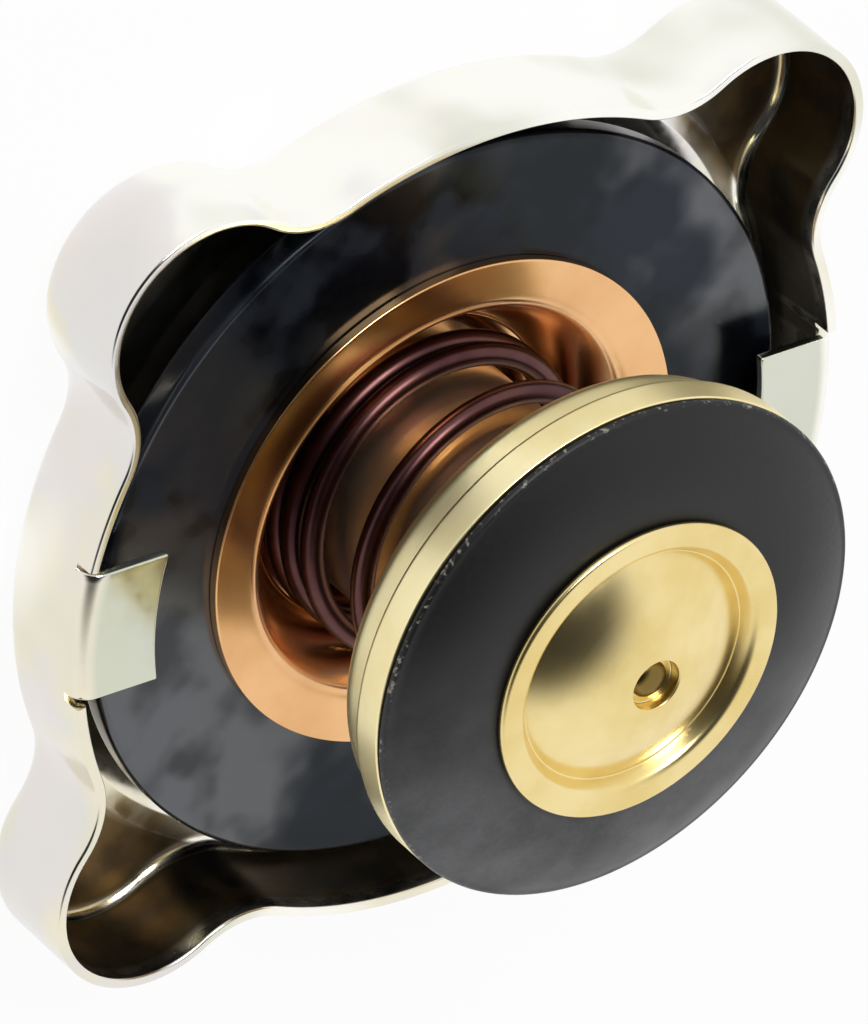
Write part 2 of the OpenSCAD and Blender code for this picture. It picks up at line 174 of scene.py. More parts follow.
def makePiece(name, parts, body, replaced, finish, sharp=40, marks=None):
    # joins parts (points, quads) in millimetres into one mesh, closes its poles and turns it outwards;
    # marks are named values, one for each of its first points and 0 for the rest
    start = np.cumsum([0] + [len(points) for points, quads in parts])
    points = np.vstack([p for p, q in parts]) * mm
    quads = np.vstack([q + s for (p, q), s in zip(parts, start)])
    mesh = bpy.data.meshes.new(name)
    mesh.from_pydata(points.tolist(), [], quads.tolist())
    for key, values in (marks or {}).items():
        mark = mesh.attributes.new(key, "FLOAT", "POINT")
        mark.data.foreach_set("value", np.pad(values, (0, len(points) - len(values))))
    work = bmesh.new()
    work.from_mesh(mesh)
    bmesh.ops.remove_doubles(work, verts=work.verts, dist=mergeWithin * mm)
    bmesh.ops.recalc_face_normals(work, faces=work.faces)
    work.to_mesh(mesh)
    work.free()
    mesh.shade_smooth()
    mesh.set_sharp_from_angle(angle=math.radians(sharp))
    mesh.materials.append(finish)
    piece = bpy.data.objects.new(name, mesh)
    bpy.context.scene.collection.objects.link(piece)
    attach(piece, body)
    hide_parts(replaced)
    print("made", name, len(mesh.polygons), "faces")
    return piece


# Finishes

class Signal:
    # a socket: every operator adds one Math node to its tree
    def __init__(self, nodes, socket):
        self.nodes = nodes
        self.socket = socket

    def other(self, name):
        return Signal(self.nodes, self.socket.node.outputs[name])

    def math(self, operation, first, second=0.0):
        return self.nodes.add("ShaderNodeMath", {"operation": operation}, {0: first, 1: second})

    def __add__(self, other):
        return self.math("ADD", self, other)

    def __radd__(self, other):
        return self.math("ADD", other, self)

    def __sub__(self, other):
        return self.math("SUBTRACT", self, other)

    def __rsub__(self, other):
        return self.math("SUBTRACT", other, self)

    def __mul__(self, other):
        return self.math("MULTIPLY", self, other)

    def __rmul__(self, other):
        return self.math("MULTIPLY", other, self)

    def __pow__(self, other):
        return self.math("POWER", self, other)

    def __rpow__(self, other):
        return self.math("POWER", other, self)


class Nodes:
    # the nodes of one material or of the world
    def __init__(self, owner):
        owner.use_nodes = True
        self.tree = owner.node_tree

    def add(self, kind, settings=None, sockets=None, output=0):
        node = self.tree.nodes.new(kind)
        for key, value in (settings or {}).items():
            setattr(node, key, value)
        for key, value in (sockets or {}).items():
            self.give(node, key, value)
        return Signal(self, node.outputs[output])

    def give(self, node, key, value):
        if isinstance(value, Signal):
            self.tree.links.new(value.socket, node.inputs[key])
        else:
            node.inputs[key].default_value = value

    def mix(self, share, first, second):
        return self.add("ShaderNodeMix", {"data_type": "RGBA"}, {0: share, 6: first, 7: second}, output=2)

    def ramp(self, value, low, high):
        # 0 below low, 1 above high, and a smooth rise between them
        settings = {"interpolation_type": "SMOOTHSTEP"}
        return self.add("ShaderNodeMapRange", settings, {"Value": value, "From Min": low, "From Max": high})

    def larger(self, first, second):
        return self.add("ShaderNodeMath", {"operation": "MAXIMUM"}, {0: first, 1: second})

    def seenDirectly(self):
        # 1 for camera, glossy and transmission rays, 0 for the rest
        camera = self.add("ShaderNodeLightPath", output="Is Camera Ray")
        mirrored = self.larger(camera, camera.other("Is Glossy Ray"))
        return self.larger(mirrored, camera.other("Is Transmission Ray"))


class Finish(Nodes):
    # one material: constants go straight onto the shader, and what varies is linked to it
    def __init__(self, name, constants):
        self.material = bpy.data.materials.new(name)
        super().__init__(self.material)
        self.shader = self.tree.nodes["Principled BSDF"]
        for socket, value in constants.items():
            self.give(self.shader, socket, value)
        place = self.add("ShaderNodeTexCoord", output="Object")
        self.spot = self.add("ShaderNodeVectorMath", {"operation": "SCALE"}, {0: place, "Scale": 1 / mm})
        self.x = self.add("ShaderNodeSeparateXYZ", sockets={0: self.spot}, output="X")
        self.y = self.x.other("Y")
        self.z = self.x.other("Z")
        self.radius = (self.x * self.x + self.y * self.y) ** 0.5

    def noise(self, scale, detail=3.0, rough=0.55, at=None):
        sockets = {"Vector": at or self.spot, "Scale": scale, "Detail": detail, "Roughness": rough}
        return self.add("ShaderNodeTexNoise", {}, sockets)

    def mark(self, name):
        # a value that the piece's own points carry
        return self.add("ShaderNodeAttribute", {"attribute_name": name}, output="Fac")

    def turned(self, scale):
        # turning marks: noise that changes with radius and height only
        at = self.add("ShaderNodeCombineXYZ", sockets={"X": self.radius, "Y": self.z})
        return self.noise(scale, 4.0, 0.65, at)

    def bump(self, height, strength, distance=0.02):
        sockets = {"Height": height, "Strength": strength, "Distance": distance * mm}
        return self.add("ShaderNodeBump", {}, sockets)

    def feed(self, **links):
        names = {"color": "Base Color", "rough": "Roughness", "normal": "Normal", "coat": "Coat Weight"}
        for key, value in links.items():
            self.give(self.shader, names[key], value)
        return self.material


def rgb(r, g, b):
    return (r, g, b, 1.0)


zinc = {"bright": rgb(0.98, 0.97, 0.91), "straw": rgb(0.84, 0.78, 0.62), "green": rgb(0.72, 0.73, 0.62),
        "lilac": rgb(0.75, 0.72, 0.82), "driftScale": 0.05, "driftSpan": (0.44, 0.60),
        "greenScale": 0.08, "greenSpan": (0.48, 0.68), "greenShare": 0.7,
        "lilacScale": 0.095, "lilacSpan": (0.50, 0.62), "lilacShare": 0.45,
        "tab": rgb(0.60, 0.63, 0.52), "tabRadius": (27.7, 26.9), "tabHeight": (7.0, 7.6), "tabShare": 0.8,
        # painted shade in the ears' hollows: two dark browns mottled together, a little rougher there
        "paintedShade": rgb(0.24, 0.17, 0.085), "paintedShadeDark": rgb(0.12, 0.10, 0.075), "paintedShadeRadius": (27.5, 27.85),
        "mottleScale": 0.22, "mottleSpan": (0.35, 0.65), "paintedShadeRough": 0.2,
        "roughLow": 0.12, "roughHigh": 0.22, "wearScale": 0.6, "wearSpan": (0.3, 0.7)}


def zincFinish():
    # zinc plate: a bright metal with slow drifts of straw, green and lilac, rubbed grey green tabs and
    # painted shade, mottled dark brown, on the marked inside of the ears, from the crown's lip outwards
    f = Finish("zincPlate", {"Metallic": 1.0})
    drift = f.ramp(f.noise(zinc["driftScale"], 2.0), *zinc["driftSpan"])
    green = f.ramp(f.noise(zinc["greenScale"], 2.0), *zinc["greenSpan"])
    lilac = f.ramp(f.noise(zinc["lilacScale"], 2.0), *zinc["lilacSpan"])
    color = f.mix(drift, zinc["bright"], zinc["straw"])
    color = f.mix(green * zinc["greenShare"], color, zinc["green"])
    color = f.mix(lilac * zinc["lilacShare"], color, zinc["lilac"])
    onTab = f.ramp(f.radius, *zinc["tabRadius"]) * f.ramp(f.z, *zinc["tabHeight"])
    color = f.mix(onTab * zinc["tabShare"], color, zinc["tab"])
    # painted shade: the marked inside of the ears, from the crown's lip outwards, turns mottled dark brown
    paintedShade = f.mark("paintedShade") * f.ramp(f.radius, *zinc["paintedShadeRadius"])
    shadeMottle = f.ramp(f.noise(zinc["mottleScale"], 4.0), *zinc["mottleSpan"])
    color = f.mix(paintedShade, color, f.mix(shadeMottle, zinc["paintedShade"], zinc["paintedShadeDark"]))
    wear = f.ramp(f.noise(zinc["wearScale"], 4.0), *zinc["wearSpan"])
    rough = zinc["roughLow"] + (zinc["roughHigh"] - zinc["roughLow"]) * wear + zinc["paintedShadeRough"] * paintedShade
    return f.feed(color=color, rough=rough)


gasketLook = {"deep": rgb(0.0006, 0.0007, 0.0010), "bloom": rgb(0.013, 0.017, 0.026),
              "patchScale": 0.12, "patchSpan": (0.44, 0.57), "patchShare": 0.7,
              "fineScale": 1.6, "fineShare": 0.25, "grain": 0.12,
              "sheenScale": 0.075, "sheenSpan": (0.45, 0.58), "sheenLeast": 0.35,
              "roughLow": 0.14, "roughHigh": 0.40}


def gasketFinish():
    # neck rubber: near black, with a mottled blue grey bloom and patches of sheen
    f = Finish("gasketRubber", {"Metallic": 0.0, "Specular IOR Level": 0.24, "Coat Roughness": 0.2,
                                "Coat IOR": 1.75, "Specular Tint": rgb(0.72, 0.86, 1.0)})
    patches = f.ramp(f.noise(gasketLook["patchScale"], 3.0, 0.48), *gasketLook["patchSpan"])
    fine = f.noise(gasketLook["fineScale"], 4.0)
    bloom = patches * gasketLook["patchShare"] + fine * gasketLook["fineShare"]
    rough = gasketLook["roughLow"] + (gasketLook["roughHigh"] - gasketLook["roughLow"]) * bloom
    color = f.mix(bloom, gasketLook["deep"], gasketLook["bloom"])
    least = gasketLook["sheenLeast"]
    sheen = f.ramp(f.noise(gasketLook["sheenScale"], 3.0, 0.5), *gasketLook["sheenSpan"])
    sheen = sheen * (least + (1 - least) * patches)
    return f.feed(color=color, rough=rough, coat=sheen, normal=f.bump(fine, gasketLook["grain"], 0.03))


# the second colour is painted sheen with dust mottle in it, on one side; the third is a painted broken
# highlight on the outer front edge
sealLook = {"face": rgb(0.004, 0.004, 0.0045), "dustAndSheen": rgb(0.185, 0.187, 0.195),
            "paintedHighlight": rgb(0.55, 0.52, 0.42), "paintedSheenAlong": (0.75, 0.66), "paintedSheenSpan": (-8, 22),
            "dustScale": 0.16, "dustRamp": (0.25, 0.75), "dustShare": 0.7,
            "fineScale": 3.0, "fineShare": 0.4, "grain": 0.2, "paintedHighlightRadius": (17.02, 17.24),
            "speckScale": 2.6, "speckRamp": (0.54, 0.68), "speckShare": 0.5,
            "roughLow": 0.36, "roughMore": 0.16}


def sealFinish():
    # valve rubber: near black, painted sheen with dust mottle towards one side, and a painted broken
    # highlight of specks on its outer front edge
    f = Finish("sealRubber", {"Metallic": 0.0, "Specular IOR Level": 0.4})
    # painted sheen: the rubber turns lighter towards +X and +Y, broken up by a dust mottle
    alongX, alongY = sealLook["paintedSheenAlong"]
    side = f.ramp(f.x * alongX + f.y * alongY, *sealLook["paintedSheenSpan"])
    dustAndSheen = f.ramp(f.noise(sealLook["dustScale"], 5.0), *sealLook["dustRamp"])
    fine = f.noise(sealLook["fineScale"], 4.0)
    paintedSheenAndDust = side * (dustAndSheen * sealLook["dustShare"] + fine * sealLook["fineShare"])
    color = f.mix(paintedSheenAndDust, sealLook["face"], sealLook["dustAndSheen"])
    # painted highlight: pale specks along the outer front edge
    edge = f.ramp(f.radius, *sealLook["paintedHighlightRadius"])
    specks = f.ramp(f.noise(sealLook["speckScale"], 5.0), *sealLook["speckRamp"])
    color = f.mix(edge * specks * sealLook["speckShare"], color, sealLook["paintedHighlight"])
    rough = sealLook["roughLow"] + sealLook["roughMore"] * fine
    return f.feed(color=color, rough=rough, normal=f.bump(fine, sealLook["grain"], 0.03))


turning = {"depth": 0.15, "lineShare": 0.6, "mottleScale": 0.12, "mottleSpan": (0.38, 0.72), "stainShare": 0.5}


def turnedMetal(name, bright, dull, roughLow, roughHigh, marks):
    # pressed and turned metal: fine marks round the axis, and slow stains that dull it
    f = Finish(name, {"Metallic": 1.0})
    lines = f.turned(marks)
    slow = f.ramp(f.noise(turning["mottleScale"], 4.0), *turning["mottleSpan"])
    color = f.mix(slow, bright, dull)
    worn = lines * turning["lineShare"] + slow * turning["stainShare"]
    rough = roughLow + (roughHigh - roughLow) * worn
    return f.feed(color=color, rough=rough, normal=f.bump(lines, turning["depth"]))


metals = {
    "copper": ("seatCopper", rgb(0.88, 0.52, 0.25), rgb(0.78, 0.43, 0.19), 0.12, 0.24, 1.6),
    # painted light: the bell's bronze is lighter than its own colour, to make up for the shade inside the
    # spring
    "bronze": ("bellBronzePaintedLight", rgb(0.98, 0.84, 0.60), rgb(0.86, 0.70, 0.46), 0.26, 0.40, 2.0),
    "wire": ("springWire", rgb(0.12, 0.054, 0.050), rgb(0.06, 0.024, 0.028), 0.24, 0.36, 3.0),
    "brass": ("plateBrass", rgb(1.0, 0.89, 0.53), rgb(0.94, 0.79, 0.40), 0.28, 0.42, 2.4),
    "dish": ("dishBrass", rgb(0.90, 0.74, 0.37), rgb(0.80, 0.62, 0.25), 0.18, 0.30, 2.0),
    # painted shade: the stem's brass is darker than its own colour, for the shade in the dish's dimple
    "stem": ("stemBrassPaintedShade", rgb(0.30, 0.21, 0.06), rgb(0.18, 0.12, 0.03), 0.20, 0.34, 2.0),
    "rivet": ("rivetSteel", rgb(0.66, 0.64, 0.60), rgb(0.52, 0.51, 0.49), 0.22, 0.36, 2.6),
    "disc": ("discSteel", rgb(0.58, 0.58, 0.57), rgb(0.46, 0.46, 0.47), 0.22, 0.36, 2.0),
    "light": ("lightWire", rgb(0.56, 0.55, 0.53), rgb(0.42, 0.41, 0.40), 0.22, 0.36, 4.0),
}
finishes = {key: turnedMetal(*values) for key, values in metals.items()}
finishes["zinc"] = zincFinish()
finishes["gasket"] = gasketFinish()
finishes["seal"] = sealFinish()
print("finishes made:", len(finishes))


# Shell, with its ears, crown and tabs

shell = {"sheet": 0.7, "earNose": 6.8, "earOut": 8.0, "blend": 6.2, "wallBend": 1.0, "crownHeight": 0.5,
         "crownRun": 3.0, "ledge": 0.3, "crownBend": 1.6, "lipBend": 0.3, "rimEdge": 0.22,
         "lipRun": 0.1, "holeR": 2.5, "sinkR": 4.0, "noseSteps": 36, "blendSteps": 14, "skirtSteps": 12,
         "tabSteps": 8, "floorSteps": 6, "bendSteps": 10, "paintedShadeStop": 0.3, "bareAt": -0.28, "bareHalf": 0.19}
tab = {"width": 9.2, "flare": 0.0, "reach": 5.1, "fold": 1.4, "relief": 0.3, "edge": 0.16, "edgeSteps": 4,
       "edgeShare": 0.9, "at": (-45, 135), "steps": 24}
nearly = 0.001
shellReach, crownZ, rimZ = nodeSpan("cap_shell")
skirtR = round(shellReach, 1) - shell["sheet"] - shell["earOut"]
foldZ = rimZ - tab["fold"]


def arcPoints(center, radius, fromAngle, toAngle, steps, outward):
    # points and outward normals along one arc, without its last point
    a = np.linspace(fromAngle, toAngle, steps, endpoint=False)
    ray = np.stack([np.cos(a), np.sin(a)], 1)
    return np.array(center) + radius * ray, outward * ray


def earedOutline():
    # inside of the wall as arcs: skirt, blend, ear nose, blend, skirt, for each of four ears
    noseAt = skirtR + shell["earOut"] - shell["earNose"]
    blendAt = skirtR + shell["blend"]
    between = shell["earNose"] + shell["blend"]
    earTurn = math.acos((blendAt ** 2 + noseAt ** 2 - between ** 2) / (2 * blendAt * noseAt))
    tabTurn = math.pi / 4 - math.asin((tab["width"] / 2 + tab["relief"]) / skirtR)
    blendC = blendAt * np.array([math.cos(earTurn), math.sin(earTurn)])
    noseC = np.array([noseAt, 0.0])
    meet = math.atan2(*(blendC - noseC)[::-1])
    up = math.pi
    spans = [
        ((0, 0), skirtR, -math.pi / 4, -tabTurn, shell["tabSteps"], 1),
        ((0, 0), skirtR, -tabTurn, -earTurn, shell["skirtSteps"], 1),
        (blendC * [1, -1], shell["blend"], up - earTurn, up - meet, shell["blendSteps"], -1),
        (noseC, shell["earNose"], -meet, meet, shell["noseSteps"], 1),
        (blendC, shell["blend"], meet - up, earTurn - up, shell["blendSteps"], -1),
        ((0, 0), skirtR, earTurn, tabTurn, shell["skirtSteps"], 1),
        ((0, 0), skirtR, tabTurn, math.pi / 4, shell["tabSteps"], 1),
    ]
    parts = [arcPoints(*span) for span in spans]
    points = np.vstack([p for p, n in parts])
    normals = np.vstack([n for p, n in parts])
    turns = [np.array([[c, s], [-s, c]]) for c, s in ((1, 0), (0, 1), (-1, 0), (0, -1))]
    return np.vstack([points @ t for t in turns]), np.vstack([normals @ t for t in turns])


def shellSurface():
    # a closed section carried round the outline: crown rows are circles, wall rows are the outline moved
    # out along its normals, and the floor between them runs straight from the one to the other; the painted
    # shade covers the inside up to the rim, but for the middle of the bend
    line, normal = earedOutline()
    ray = unit(line)
    t = shell["sheet"]
    b = shell["wallBend"]
    earZ = crownZ + shell["crownHeight"]
    slope = math.atan2(shell["crownHeight"], shell["crownRun"])
    lipR = skirtR - b - shell["ledge"]
    outer = [[shell["sinkR"], crownZ, 0], [lipR - shell["crownRun"], crownZ, shell["crownBend"]],
             [lipR - shell["lipBend"] * math.tan(slope / 2), earZ, shell["lipBend"]],
             [lipR + shell["lipRun"], earZ, 0]]
    inner = besidePath(outer, t)
    inner[0, 0] = shell["holeR"]
    crownIn = roundPath(inner)
    crownOut = roundPath(outer)[::-1]
    wallCorners = [(-b, earZ + t, 0), (0, earZ + t, b), (0, foldZ, 0), (0, rimZ, shell["rimEdge"]),
                   (t, rimZ, shell["rimEdge"]), (t, foldZ, 0), (t, earZ, b + t), (-b, earZ, 0)]
    wall = roundPath(wallCorners, steps=shell["bendSteps"])
    wall = wall[(wall[:, 1] < foldZ + nearly) | (wall[:, 1] > rimZ - shell["rimEdge"] - nearly)]
    floorShare = np.linspace(0, 1, shell["floorSteps"])[1:-1]
    floorZ = earZ + t
    # painted shade on the inside of the wall, up to a little under the rim, but not on the middle of the
    # bend
    paintedShadeWall = (wall[:, 0] < nearly) & (wall[:, 1] > floorZ - nearly)
    paintedShadeWall &= wall[:, 1] < rimZ - shell["paintedShadeStop"]
    bare = np.abs(wall[:, 0] / b - shell["bareAt"]) < shell["bareHalf"]
    paintedShadeWall &= ~(bare & (wall[:, 1] < floorZ + b))

    def rowsFrom(base, along, rows):
        # rows (distance, height) set out from base, along one direction for each point of the outline
        flat = base[:, None, :] + along[:, None, :] * rows[None, :, :1]
        return np.concatenate([flat, np.broadcast_to(rows[None, :, 1:], flat.shape[:2] + (1,))], 2)

    def between(first, last):
        # straight rows from the last row of one stretch to the first row of the next
        return first[:, -1:] + (last[:, :1] - first[:, -1:]) * floorShare[None, :, None]

    inside = rowsFrom(0 * line, ray, crownIn)
    side = rowsFrom(line, normal, wall)
    outside = rowsFrom(0 * line, ray, crownOut)
    surface = np.concatenate([inside, between(inside, side), side, between(side, outside), outside], 1)
    paintedShade = np.zeros(surface.shape[1])
    first = inside.shape[1]
    paintedShade[first:first + len(floorShare)] = 1
    paintedShade[first + len(floorShare):first + len(floorShare) + len(wall)] = paintedShadeWall
    paintedShade = np.broadcast_to(paintedShade[None, :, None], surface.shape[:2] + (1,))
    return np.concatenate([surface, paintedShade], 2), line


def notchRows(surface, line):
    # the rim drops to the fold where a tab and its relief leave it, with a doubled column at each side
    across = np.zeros(len(line), bool)
    for at in tab["at"]:
        out = np.array([math.cos(math.radians(at)), math.sin(math.radians(at))])
        lateral = line[:, 0] * -out[1] + line[:, 1] * out[0]
        across |= (np.abs(lateral) < tab["width"] / 2 + tab["relief"] + nearly) & (line @ out > 0)
    low = surface.copy()
    low[:, :, 2] = np.minimum(low[:, :, 2], foldZ)
    first = across & ~np.roll(across, 1)
    final = across & ~np.roll(across, -1)
    wanted = np.stack([first, np.full(len(line), True), final], 1)
    lowered = np.stack([0 * across, across, 0 * across], 1)[wanted].astype(int)
    column = np.nonzero(wanted)[0]
    return np.stack([surface, low])[lowered, column]


def tabSurface(at):
    # the folded strip: its section turns about the axis, and its sides are straight lines, which run
    # parallel where the flare is 0
    t = shell["sheet"]
    wallR = skirtR + t
    edgeR = skirtR - tab["reach"]
    slant = tab["flare"] / 2 / tab["reach"]
    section = np.array([[wallR, foldZ, 0], [wallR, rimZ, tab["fold"]], [edgeR, rimZ, tab["edge"]],
                        [edgeR, rimZ - t, tab["edge"]], [skirtR, rimZ - t, tab["fold"] - t],
                        [skirtR, foldZ, 0]])
    turn = np.linspace(0, math.pi / 2, tab["edgeSteps"])
    inset = np.minimum(tab["edge"] * (1 - np.cos(turn)), tab["edgeShare"] * tab["edge"])
    short = tab["edge"] * (1 - np.sin(turn))
    loops = [roundPath(besidePath(section, i)) for i in inset]
    reach = tab["width"] / 2 + slant * skirtR
    middle = np.linspace(-1, 1, tab["steps"])[1:-1]
    steps = range(tab["edgeSteps"])
    columns = [(loops[k], -1, short[k]) for k in reversed(steps)]
    columns += [(loops[0], m, short[0]) for m in middle]
    columns += [(loops[k], 1, short[k]) for k in steps]
    rows = []
    for loop, share, cut in columns:
        half = np.arcsin((reach - cut) / (loop[:, 0] * math.hypot(1, slant))) - math.atan(slant)
        a = math.radians(at) + half * share
        rows.append(np.stack([loop[:, 0] * np.cos(a), loop[:, 0] * np.sin(a), loop[:, 1]], 1))
    grid = np.array(rows)
    count = grid.shape[1]
    quads = gridFaces(len(rows), count, False, True)
    k = np.arange(count // 2 - 1)
    cap = np.stack([k, k + 1, count - 2 - k, count - 1 - k], 1)
    return grid.reshape(-1, 3), np.vstack([quads, cap, cap[:, ::-1] + (len(rows) - 1) * count])


shellGrid = notchRows(*shellSurface())
shellParts = [(shellGrid[:, :, :3].reshape(-1, 3), gridFaces(*shellGrid.shape[:2], True, True))]
shellParts += [tabSurface(at) for at in tab["at"]]
makePiece("cap_skin", shellParts, "shell", "cap_shell", finishes["zinc"],
          marks={"paintedShade": shellGrid[:, :, 3].ravel()})


# Rivet that the valve assembly turns on

rivet = {"shankR": 2.5, "sinkR": 4.0, "sinkDepth": 0.7, "headHeight": 1.3, "edge": 0.2,
         "clearance": 0.05, "sinkEdge": 0.05, "neckBend": 0.1, "domeSteps": 14}


def rivetSection():
    # flush cone, shank and a low domed head whose height follows the sine of its angle
    headR, low, top = nodeSpan("centre_rivet")
    headZ = top - rivet["headHeight"]
    a = np.linspace(0, math.pi / 2, rivet["domeSteps"])
    edgeZ = headZ + rivet["edge"]
    dome = np.stack([headR * np.cos(a), edgeZ + (top - edgeZ) * np.sin(a)], 1)
    foot = [(0, low, 0), (rivet["sinkR"], low, rivet["sinkEdge"]),
            (rivet["shankR"], low + rivet["sinkDepth"], rivet["neckBend"]),
            (rivet["shankR"], headZ, 0), (headR, headZ, 0)]
    return np.vstack([roundPath(foot), dome])


makePiece("rivet_turned", [lathe(rivetSection(), False, 96)], "shell", "centre_rivet",
          finishes["rivet"])


# Carrier: spring disc, gasket, copper seat and bell

turnR = rivet["shankR"] + rivet["clearance"]
floorR = 11.1
disc = {"sheet": 0.35, "land": 4.5, "bend": 0.5, "edge": 0.08}


def discSection():
    # thin sheet: a flat floor, a slope and a flat land under the gasket
    r, low, high = nodeSpan("spring_disc")
    t = disc["sheet"]
    top = high - t
    path = [(turnR, low, 0), (floorR, low, disc["bend"] + t), (r - disc["land"], top, disc["bend"]),
            (r, top, 0)]
    return sheetSection(path, t, disc["edge"])


gasket = {"hole": 14.68, "round": 0.45, "lip": 0.15}


def gasketSection():
    # flat ring with round outer edges and a small break at its hole
    r, low, high = nodeSpan("gasket")
    hole = gasket["hole"]
    corners = [(hole, low, gasket["lip"]), (r, low, gasket["round"]), (r, high, gasket["round"]),
               (hole, high, gasket["lip"])]
    return roundPath(corners, closed=True)


seat = {"sheet": 0.7, "run": 3.1, "bend": 0.3, "shoulder": 0.7}


def seatSection():
    # dished sheet: a flat floor under the spring, a slope and a flat flange on the gasket
    r, low, high = nodeSpan("spring_seat")
    t = seat["sheet"]
    top = high - t
    path = [(turnR, low, 0), (floorR, low, seat["bend"] + t), (floorR + seat["run"], top, seat["shoulder"]),
            (r, top, 0)]
    return sheetSection(path, t)


bell = {"sheet": 0.7, "bend": 0.3, "mouthR": 6.9}


def bellSection():
    # drawn cup: floor, straight wall and a mouth turned in round the sleeve
    r, low, high = nodeSpan("bell")
    t = bell["sheet"]
    bend = bell["bend"] + t
    path = [(turnR, low, 0), (r, low, bend), (r, high, bend), (bell["mouthR"], high, 0)]
    return sheetSection(path, t)


makePiece("disc_pressed", [lathe(discSection())], "carrier", "spring_disc", finishes["disc"])
makePiece("gasket_ring", [lathe(gasketSection())], "carrier", "gasket", finishes["gasket"])
makePiece("seat_pressed", [lathe(seatSection())], "carrier", "spring_seat", finishes["copper"])
makePiece("bell_drawn", [lathe(bellSection())], "carrier", "bell", finishes["bronze"])


# Springs

winding = {"gap": 0.1, "ease": 0.18, "samples": 600}
mainWinding = {"wire": 1.5, "meanR": 9.85, "turns": (2, 2, 1)}
lightWinding = {"wire": 0.45, "meanR": 2.2, "turns": (1, 4, 1), "sides": 12, "perTurn": 48}
plateR, plateFoot, plateLip = nodeSpan("valve_plate")
seatFloor = nodeSpan("spring_seat")[1] + seat["sheet"]
cupBack = nodeSpan("vacuum_spring")[2]


def coilHeight(low, high, shut, close, opened, end):
    # height of the wire's middle: close turns, open turns and close turns, with the changes of pitch eased
    pitch = (high - low - shut * (close + end)) / opened
    fine = np.linspace(0, close + opened + end, winding["samples"])
    rise = np.clip((fine - close) / winding["ease"] + 0.5, 0, 1)
    fall = np.clip((fine - close - opened) / winding["ease"] + 0.5, 0, 1)
    blend = rise - fall
    rate = shut + (pitch - shut) * blend
    climb = np.concatenate([[0], np.cumsum((rate[1:] + rate[:-1]) / 2 * np.diff(fine))])
    climb = low + climb * (high - low) / climb[-1]
    return lambda t: np.interp(t, fine, climb)


def mainCoil():
    # from the seat's floor to the back of the valve plate
    wire = mainWinding["wire"]
    turns = mainWinding["turns"]
    height = coilHeight(seatFloor + wire / 2, cupBack - wire / 2, wire + winding["gap"], *turns)
    return coil(mainWinding["meanR"], wire / 2, sum(turns), height)


def lightCoil():
    # from the stem's washer to the back of the valve plate
    wire = lightWinding["wire"]
    turns = lightWinding["turns"]
    foot = nodeSpan("vacuum_spring")[1]
    height = coilHeight(foot + wire / 2, cupBack - wire / 2, wire + winding["gap"], *turns)
    return coil(lightWinding["meanR"], wire / 2, sum(turns), height, lightWinding["sides"],
                lightWinding["perTurn"])


mainSpring = makePiece("spring_coiled", [mainCoil()], "carrier", "main_spring",
                       finishes["wire"])
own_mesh(mainSpring)
lightSpring = makePiece("spring_light", [lightCoil()], "pressure_stage", "vacuum_spring",
                        finishes["light"])
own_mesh(lightSpring)


# Pressure stage: plate with its sleeve, and the seal

plate = {"sheet": 0.7, "cupDepth": 2.8, "cupStep": 0.9, "cupBend": 0.4, "stepBend": 0.3, "rimBend": 0.35,
         "stemHole": 1.05, "lipEdge": 0.12, "sleeveSheet": 0.6, "flareR": 7.4, "sleeveR": 6.6,
         "flowCount": 4, "flowR": 1.4375, "flowAt": 4.2125, "flowEdge": 0.06, "backR": 6.3,
         "sideSteps": 12, "sleeveBend": 0.15, "sleeveEdge": 0.1}
seal = {"gap": 0.05, "round": 0.4, "rise": 1.8, "lip": 0.7, "hole": 9.35, "landR": 10.6,
        "noseTurn": 72, "noseSteps": 9, "faceSteps": 24, "holeEdge": 0.15}


def plateSection():
    # stepped cup of sheet from the pierced back outwards: cup wall, shelf and rim, and back along its inside
    t = plate["sheet"]
    cupR = plateR - plate["cupStep"]
    shelf = cupBack + plate["cupDepth"]
    front = np.array([(plate["backR"], cupBack, 0), (cupR, cupBack, plate["cupBend"] + t),
                      (cupR, shelf, plate["stepBend"]), (plateR, shelf, plate["rimBend"]),
                      (plateR, plateLip, 0)])
    behind = besidePath(front, t)[::-1]
    front[-1, 2] = plate["lipEdge"]
    behind[0, 2] = plate["lipEdge"]
    return roundPath(np.vstack([front, behind]))


def piercedBack():
    # the flat back in equal sectors round the stem's hole, one for each flow hole: straight lines run from
    # the hole's circle to the sector's edge, and the same lines lie on both faces, joined through the hole
    n = segmentsRound // plate["flowCount"]
    half = math.pi / plate["flowCount"]
    a = np.linspace(-half, half, n, endpoint=False)
    s = np.linspace(0, 1, plate["sideSteps"], endpoint=False)
    inR, outR = plate["stemHole"], plate["backR"]
    r = np.concatenate([0 * a + outR, outR + (inR - outR) * s, 0 * a + inR, inR + (outR - inR) * s])
    turn = np.concatenate([a, 0 * s + half, -a, 0 * s - half])
    rim = np.stack([r * np.cos(turn), r * np.sin(turn)], 1)
    hub = np.array([plate["flowAt"], 0])
    ray = unit(rim - hub)
    hole, wide = plate["flowR"], plate["flowR"] + plate["flowEdge"]
    low, high, e = cupBack, cupBack + plate["sheet"], plate["flowEdge"]
    rings = [(rim, low), (hub + wide * ray, low), (hub + hole * ray, low + e), (hub + hole * ray, high - e),
             (hub + wide * ray, high), (rim, high)]
    grid = np.array([np.column_stack([flat, np.full(len(flat), z)]) for flat, z in rings])
    parts = []
    for q in 2 * half * np.arange(plate["flowCount"]):
        c, w = math.cos(q), math.sin(q)
        points = grid.reshape(-1, 3) @ np.array([[c, w, 0], [-w, c, 0], [0, 0, 1]])
        parts.append((points, gridFaces(len(rings), len(rim), False, True)))
    stemWall = np.array([(inR, low), (inR, high)])
    return parts + [lathe(stemWall, False)]


